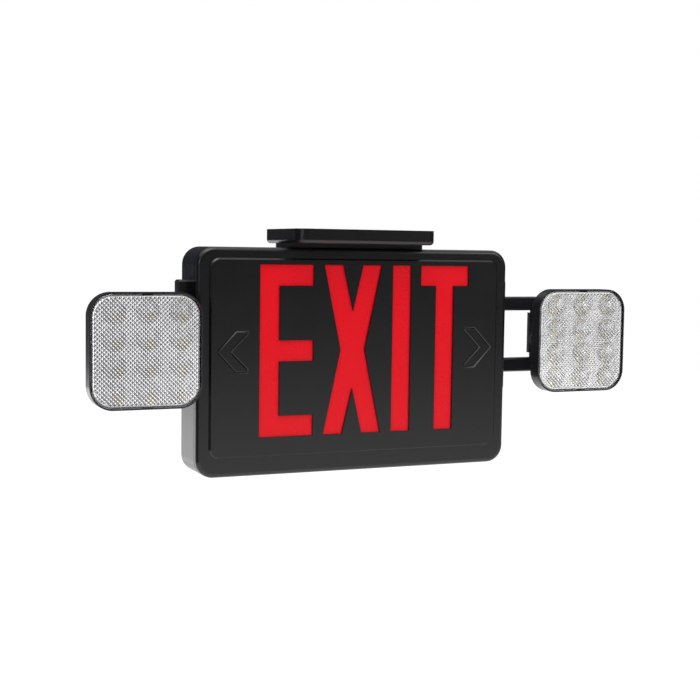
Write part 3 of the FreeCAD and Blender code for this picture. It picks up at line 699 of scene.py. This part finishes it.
# ---- sign face ----------------------------------------------------------------------------------
@dataclass
class SignFace:
    """Front cover with the four letter openings and a knock-out chevron at each end."""

    letter_height: float = 152.4 * MM
    stroke: float = 19.05 * MM
    e_left: float = -96.15 * MM
    e_width: float = 51.2 * MM
    x_middle: float = -7.0 * MM
    x_width: float = 57.0 * MM
    x_waist: float = 24.2 * MM
    x_notch: float = 40.0 * MM
    i_left: float = 32.0 * MM
    t_left: float = 60.7 * MM
    t_width: float = 50.0 * MM
    letters_above_middle: float = 9.7 * MM
    opening_depth: float = 2.4 * MM
    edge_break: float = 0.3 * MM
    chevron_tip: float = 136.0 * MM
    chevron_shoulder: float = 118.0 * MM
    chevron_end: float = 106.3 * MM
    chevron_inner_tip: float = 121.5 * MM
    chevron_height: float = 38.0 * MM
    chevron_inner_height: float = 30.0 * MM
    groove_width: float = 2.0 * MM
    groove_depth: float = 0.85 * MM
    groove_lead: float = 0.05 * MM
    middle: float = field(init=False)
    panel_y: float = field(init=False)

    def __post_init__(self) -> None:
        """Take the face's height and depth from the frame."""
        low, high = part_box("front_cover")
        self.middle = (low.z + high.z) / 2 + self.letters_above_middle
        self.panel_y = low.y

    def letter_e(self, bottom: float, top: float) -> Outline:
        """Outline of the E.

        Args:
            bottom: foot of the letters.
            top: head of the letters.

        Returns:
            Corners as (x, z).
        """
        left, right, stem = self.e_left, self.e_left + self.e_width, self.e_left + self.stroke
        bar_low, bar_high = self.middle - self.stroke / 2, self.middle + self.stroke / 2
        return [
            (left, bottom), (right, bottom), (right, bottom + self.stroke),
            (stem, bottom + self.stroke), (stem, bar_low), (right, bar_low), (right, bar_high),
            (stem, bar_high), (stem, top - self.stroke), (right, top - self.stroke),
            (right, top), (left, top),
        ]

    def letter_x(self, bottom: float, top: float) -> Outline:
        """Outline of the X.

        Args:
            bottom: foot of the letters.
            top: head of the letters.

        Returns:
            Corners as (x, z).
        """
        half, waist = self.x_width / 2, self.x_waist / 2
        inner = half - self.stroke
        side = [(inner, bottom), (half, bottom), (waist, self.middle), (half, top), (inner, top)]
        right = [(self.x_middle + u, z) for u, z in side]
        left = [(self.x_middle - u, z) for u, z in reversed(side)]
        upper_notch = (self.x_middle, top - self.x_notch)
        lower_notch = (self.x_middle, bottom + self.x_notch)
        return right + [upper_notch] + left + [lower_notch]

    def letter_i(self, bottom: float, top: float) -> Outline:
        """Outline of the I."""
        right = self.i_left + self.stroke
        return [(self.i_left, bottom), (right, bottom), (right, top), (self.i_left, top)]

    def letter_t(self, bottom: float, top: float) -> Outline:
        """Outline of the T.

        Args:
            bottom: foot of the letters.
            top: head of the letters.

        Returns:
            Corners as (x, z).
        """
        low, high = self.t_left, self.t_left + self.t_width
        leg = (low + high - self.stroke) / 2
        bar = top - self.stroke
        return [
            (leg, bottom), (leg + self.stroke, bottom), (leg + self.stroke, bar), (high, bar),
            (high, top), (low, top), (low, bar), (leg, bar),
        ]

    def chevron(self, side: int) -> Outline:
        """Outline of the chevron at one end of the sign, pointing away from the letters.

        Args:
            side: -1 left, 1 right.

        Returns:
            Corners as (x, z).
        """
        high, low = self.chevron_height / 2, self.chevron_inner_height / 2
        end = self.chevron_end
        upper = [(self.chevron_shoulder, high), (end, high), (end, low)]
        lower = [(end, -low), (end, -high), (self.chevron_shoulder, -high)]
        corners = [(self.chevron_tip, 0.0)] + upper + [(self.chevron_inner_tip, 0.0)] + lower
        return [(side * x, self.middle + z) for x, z in corners]

    def build(self, dresser: Dresser) -> None:
        """Cut the letters and the chevrons into a copy of the moulded cover.

        Args:
            dresser: gives the piece its finish, body and node.
        """
        cover = copy_of_node("front_cover", "lettered_front_cover")
        bottom, top = self.middle - self.letter_height / 2, self.middle + self.letter_height / 2
        front, rear = self.panel_y, self.panel_y + self.opening_depth
        for letter in (self.letter_e, self.letter_x, self.letter_i, self.letter_t):
            outline = letter(bottom, top)
            cut_away(cover, prism_from_outline("letter", outline, front, rear, self.edge_break))
        lead = front - self.groove_lead
        for side in (-1, 1):
            outline = self.chevron(side)
            cut_away(
                cover, vee_band("groove", outline, lead, self.groove_width, self.groove_depth)
            )
        soften(cover)
        dresser.stand_in(cover, "front_cover")


# ---- lamp lens ----------------------------------------------------------------------------------
@dataclass
class PrismLens:
    """Clear lens of one lamp head, with small pyramids sunk all over its inner face."""

    side: str
    wall: float = 1.8 * MM
    step: float = 2.6 * MM
    pyramid_depth: float = 1.25 * MM
    pyramid_turn_deg: float = 45.0
    sink: float = 0.1 * MM
    margin: float = 2.6 * MM
    corner: float = 16.1 * MM
    corner_steps: int = 8
    field_depth: float = 8 * MM
    cells: int = 52
    smooth_below_deg: float = 12.0

    def _field(self, middle: Vector, width: float, height: float) -> bpy.types.Object:
        """Make the rounded slab that the pyramids stay within.

        Args:
            middle: centre of the slab.
            width: its width.
            height: its height.

        Returns:
            The slab, used as a cutting tool.
        """
        bpy.ops.mesh.primitive_cube_add(size=1, location=(0, 0, 0))
        slab = bpy.context.active_object
        bpy.ops.object.mode_set(mode="EDIT")
        bpy.ops.mesh.select_all(action="SELECT")
        bpy.ops.transform.resize(value=(width, self.field_depth, height))
        bpy.ops.transform.translate(value=middle)
        bpy.ops.mesh.select_all(action="DESELECT")
        bpy.ops.object.mode_set(mode="OBJECT")
        points = slab.data.vertices
        for edge in slab.data.edges:
            run = points[edge.vertices[0]].co - points[edge.vertices[1]].co
            edge.select = abs(run.y) > self.field_depth / 2
        bpy.ops.object.mode_set(mode="EDIT")
        bpy.ops.mesh.select_mode(type="EDGE")
        bpy.ops.mesh.bevel(offset=self.corner, segments=self.corner_steps, affect="EDGES")
        bpy.ops.object.mode_set(mode="OBJECT")
        return slab

    def _pyramids(self, middle: Vector) -> bpy.types.Object:
        """Make a slab whose front is a field of small pyramids, set cornerwise.

        Args:
            middle: centre of the plane that the pyramids stand on.

        Returns:
            The slab, used as a cutting tool.
        """
        bpy.ops.mesh.primitive_grid_add(
            x_subdivisions=self.cells, y_subdivisions=self.cells, size=1
        )
        slab = bpy.context.active_object
        size = self.cells * self.step
        bpy.ops.object.mode_set(mode="EDIT")
        bpy.ops.mesh.select_all(action="SELECT")
        bpy.ops.transform.resize(value=(size, size, 1))
        for degrees, axis in ((self.pyramid_turn_deg, "Z"), (90.0, "X")):
            bpy.ops.transform.rotate(
                value=math.radians(degrees), orient_axis=axis, center_override=(0, 0, 0)
            )
        bpy.ops.transform.translate(value=middle)
        bpy.ops.mesh.select_mode(type="FACE")
        extrude_along_y(2 * self.wall)
        bpy.ops.mesh.select_all(action="SELECT")
        bpy.ops.mesh.normals_make_consistent(inside=False)
        bpy.ops.mesh.select_all(action="DESELECT")
        bpy.ops.object.mode_set(mode="OBJECT")
        for face in slab.data.polygons:
            face.select = abs(face.center.y - middle.y) < self.sink
        bpy.ops.object.mode_set(mode="EDIT")
        bpy.ops.mesh.poke(offset=self.pyramid_depth)
        bpy.ops.object.mode_set(mode="OBJECT")
        return slab

    def _mark_tips(self, lens: bpy.types.Object, tip_y: float) -> None:
        """Write how near each point is to a pyramid's tip, the mask for the lens material's painted
        shade.

        Args:
            lens: lens with its pyramids.
            tip_y: depth of the tips.
        """
        tips = lens.data.attributes.new("tip", "FLOAT", "POINT")
        for point, tip in zip(lens.data.vertices, tips.data):
            tip.value = 1.0 if abs(point.co.y - tip_y) < self.sink / 2 else 0.0

    def build(self, dresser: Dresser) -> None:
        """Sink the pyramids into the inner face of a copy of the moulded lens.

        Args:
            dresser: gives the piece its finish, body and node.
        """
        node = f"{self.side}_head_lens"
        lens = copy_of_node(node, f"{self.side}_prism_lens")
        low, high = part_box(node)
        middle = (low + high) / 2
        middle.y = low.y + self.wall - self.sink
        pyramids = self._pyramids(middle)
        width, height = high.x - low.x - 2 * self.margin, high.z - low.z - 2 * self.margin
        area = self._field(middle, width, height)
        apply_modifier(pyramids, "BOOLEAN", operation="INTERSECT", solver="EXACT", object=area)
        bpy.data.objects.remove(area)
        cut_away(lens, pyramids)
        self._mark_tips(lens, middle.y - self.pyramid_depth)
        soften(lens, self.smooth_below_deg)
        dresser.stand_in(lens, node)


# ---- soft-edged copies of visible mouldings -----------------------------------------------------
@dataclass
class Mouldings:
    """Visible moulded pieces whose rounded edges are shaded smooth."""

    nodes: tuple[str, ...] = (
        "canopy", "rear_housing", "left_arm", "right_arm", "left_arm_guide", "right_arm_guide",
        "left_swivel_knuckle", "right_swivel_knuckle", "left_head_shell", "right_head_shell",
        "left_head_reflector", "right_head_reflector", "test_button", "charge_indicator",
    )

    def build(self, dresser: Dresser) -> None:
        """Copy, merge and soften each moulding.

        Args:
            dresser: gives each piece its finish, body and node.
        """
        for node in self.nodes:
            piece = copy_of_node(node, f"moulded_{node}")
            soften(piece)
            dresser.stand_in(piece, node)


# ---- studio and camera --------------------------------------------------------------------------
class SeenIn(Enum):
    """Kind of ray that a stage card shows in, as in the object's ray visibility."""

    GLOSS = "glossy"
    GLASS = "transmission"


RAY_KINDS = ("camera", "diffuse", "glossy", "transmission", "volume_scatter", "shadow")


@dataclass(frozen=True)
class Softbox:
    """Soft rectangular lamp that the camera doesn't see."""

    name: str
    place: Place
    width: float
    height: float
    watts: float
    aim: Place = (0, 0, -0.1)

    def build(self) -> None:
        """Add the lamp, turned to its aim."""
        data = bpy.data.lights.new(self.name, "AREA")
        data.shape = "RECTANGLE"
        data.size, data.size_y, data.energy = self.width, self.height, self.watts
        lamp = bpy.data.objects.new(self.name, data)
        lamp.location = self.place
        lamp.visible_camera = False
        facing = Vector(self.aim) - Vector(self.place)
        lamp.rotation_euler = facing.to_track_quat("-Z", "Y").to_euler()
        bpy.context.scene.collection.objects.link(lamp)


@dataclass(frozen=True)
class StageCard:
    """Flat card that shows in one kind of ray alone and lights nothing."""

    name: str
    colour: str
    seen_in: SeenIn
    place: Place = (0, 0, 0)
    turn_deg: Place = (0, 0, 0)
    stretch: Place = (1, 1, 1)

    def build(self) -> None:
        """Add the card at its place and size."""
        bpy.ops.mesh.primitive_plane_add(
            size=1, location=self.place, rotation=[math.radians(turn) for turn in self.turn_deg]
        )
        bpy.ops.object.mode_set(mode="EDIT")
        bpy.ops.transform.resize(value=self.stretch)
        bpy.ops.object.mode_set(mode="OBJECT")
        self.dress(bpy.context.active_object)

    def dress(self, surface: bpy.types.Object) -> None:
        """Make a surface show this card's colour in its kind of ray alone.

        Args:
            surface: stage surface to dress.
        """
        surface.name = self.name
        material = empty_material(f"{self.name}_cloth")
        tree = material.node_tree
        shown = {"Color": linear(self.colour), "Strength": 1.0}
        glow = add_node(tree, "ShaderNodeEmission", shown)
        add_node(tree, "ShaderNodeOutputMaterial", {"Surface": glow.outputs[0]})
        surface.data.materials.append(material)
        for ray in RAY_KINDS:
            if ray != self.seen_in.value:
                setattr(surface, f"visible_{ray}", False)


# Black plastic reads as black because what it mirrors is dark, apart from the pale floor below.
DARK_WALLS = StageCard("dark_studio_walls", "#484a50", SeenIn.GLOSS)
# The clear lenses send back what is behind the camera, so a darker cloth there draws their prisms.
CAMERA_CURTAIN = StageCard(
    "dark_camera_curtain", "#76767a", SeenIn.GLASS, (-0.6, -2.6, 0.1), (90, 0, 0), (2.2, 1, 1.6)
)
# Low at the left, so that the cover's left edge stays black beside the pale side.
LOW_CARD = StageCard(
    "dark_low_card", "#303236", SeenIn.GLOSS, (-2.4, -0.9, -0.65), (0, 90, 0), (1, 3.4, 0.5)
)

SOFTBOXES = (
    Softbox("overhead_softbox", (-0.4, -0.7, 2.2), 2.0, 1.6, 30),
    Softbox("left_softbox", (-2.2, -1.6, 0.6), 1.2, 1.2, 8),
    Softbox("right_softbox", (1.9, -2.2, 1.1), 1.0, 1.4, 17),
    Softbox("rear_low_softbox", (-0.9, 2.0, -0.78), 1.2, 0.86, 2.5, (0, 0, -0.15)),
)


@dataclass
class Studio:
    """Pale floor far below the hanging sign, dark walls seen only in gloss, and soft lamps."""

    floor_z: float = -0.9
    floor_width: float = 14.0
    floor_colour: str = "#f4f4f4"
    floor_roughness: float = 0.9
    floor_glow: float = 0.5
    wall_radius: float = 3.4
    wall_bottom: float = -0.5
    wall_top: float = 2.2
    wall_sides: int = 96
    ambient: float = 0.6

    def build(self) -> None:
        """Add the floor, the walls, the cards, the lamps and the world."""
        self._floor()
        self._walls()
        CAMERA_CURTAIN.build()
        LOW_CARD.build()
        for softbox in SOFTBOXES:
            softbox.build()
        self._world()

    def _floor(self) -> None:
        """Pale floor, white to the camera where nothing shades it."""
        bpy.ops.mesh.primitive_plane_add(size=self.floor_width, location=(0, 0, self.floor_z))
        floor = bpy.context.active_object
        floor.name = "pale_floor"
        material = bpy.data.materials.new("painted_pale_floor")
        material.use_nodes = True
        tree = material.node_tree
        shader = tree.nodes["Principled BSDF"]
        shader.inputs["Base Color"].default_value = linear(self.floor_colour)
        shader.inputs["Roughness"].default_value = self.floor_roughness
        shader.inputs["Emission Color"].default_value = (1, 1, 1, 1)
        shown = add_node(
            tree, "ShaderNodeMath", {0: seen_directly(tree), 1: self.floor_glow},
            operation="MULTIPLY",
        )
        tree.links.new(shown.outputs[0], shader.inputs["Emission Strength"])
        floor.data.materials.append(material)

    def _walls(self) -> None:
        """Dark ring of studio wall that only reflections see."""
        bpy.ops.mesh.primitive_cylinder_add(
            vertices=self.wall_sides,
            radius=self.wall_radius,
            depth=self.wall_top - self.wall_bottom,
            end_fill_type="NOTHING",
            location=(0, 0, (self.wall_top + self.wall_bottom) / 2),
        )
        DARK_WALLS.dress(bpy.context.active_object)

    def _world(self) -> None:
        """White surroundings, full strength to the eye, in gloss and in glass, softer as light."""
        world = bpy.data.worlds.new("white_surroundings")
        bpy.context.scene.world = world
        world.use_nodes = True
        tree = world.node_tree
        tree.nodes.clear()
        level = add_node(
            tree, "ShaderNodeMapRange",
            {"Value": seen_directly(tree), "To Min": self.ambient, "To Max": 1.0},
        )
        back = add_node(
            tree, "ShaderNodeBackground", {"Color": (1, 1, 1, 1), "Strength": level.outputs[0]}
        )
        add_node(tree, "ShaderNodeOutputWorld", {"Surface": back.outputs[0]})
        bpy.context.scene.view_settings.view_transform = "Standard"


@dataclass
class ProductCamera:
    """Camera left of the sign and level with its top, turned to the right and slightly down."""

    place: Place = (-0.49018, -1.1096, -0.01805)
    turn_deg: float = 23.91
    tilt_deg: float = -4.33
    roll_deg: float = 0.78
    lens_mm: float = 67.96
    sensor_mm: float = 36.0
    nearest: float = 0.01

    def build(self) -> None:
        """Add the camera and make it the scene's own."""
        data = bpy.data.cameras.new("product_camera")
        data.lens, data.sensor_width, data.clip_start = self.lens_mm, self.sensor_mm, self.nearest
        camera = bpy.data.objects.new("product_camera", data)
        turn = Matrix.Rotation(math.radians(-self.turn_deg), 4, "Z")
        tilt = Matrix.Rotation(math.radians(90 + self.tilt_deg), 4, "X")
        roll = Matrix.Rotation(math.radians(self.roll_deg), 4, "Z")
        camera.matrix_world = Matrix.Translation(self.place) @ turn @ tilt @ roll
        bpy.context.scene.collection.objects.link(camera)
        bpy.context.scene.camera = camera


def corners(box: tuple[Vector, Vector]) -> list[list[float]]:
    """A box's lowest and highest corners as plain lists."""
    return [list(corner) for corner in box]


def main() -> None:
    """Dress the frame, build the new pieces, and set up the studio and camera."""
    logging.basicConfig(level=logging.INFO, format="%(name)s: %(message)s")
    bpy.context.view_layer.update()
    dresser = Dresser()
    for node in frame["nodes"]:
        dresser.dress_node(node)
    SignFace().build(dresser)
    for side in ("left", "right"):
        PrismLens(side).build(dresser)
    Mouldings().build(dresser)
    Studio().build()
    ProductCamera().build()


if __name__ == "__main__":
    main()
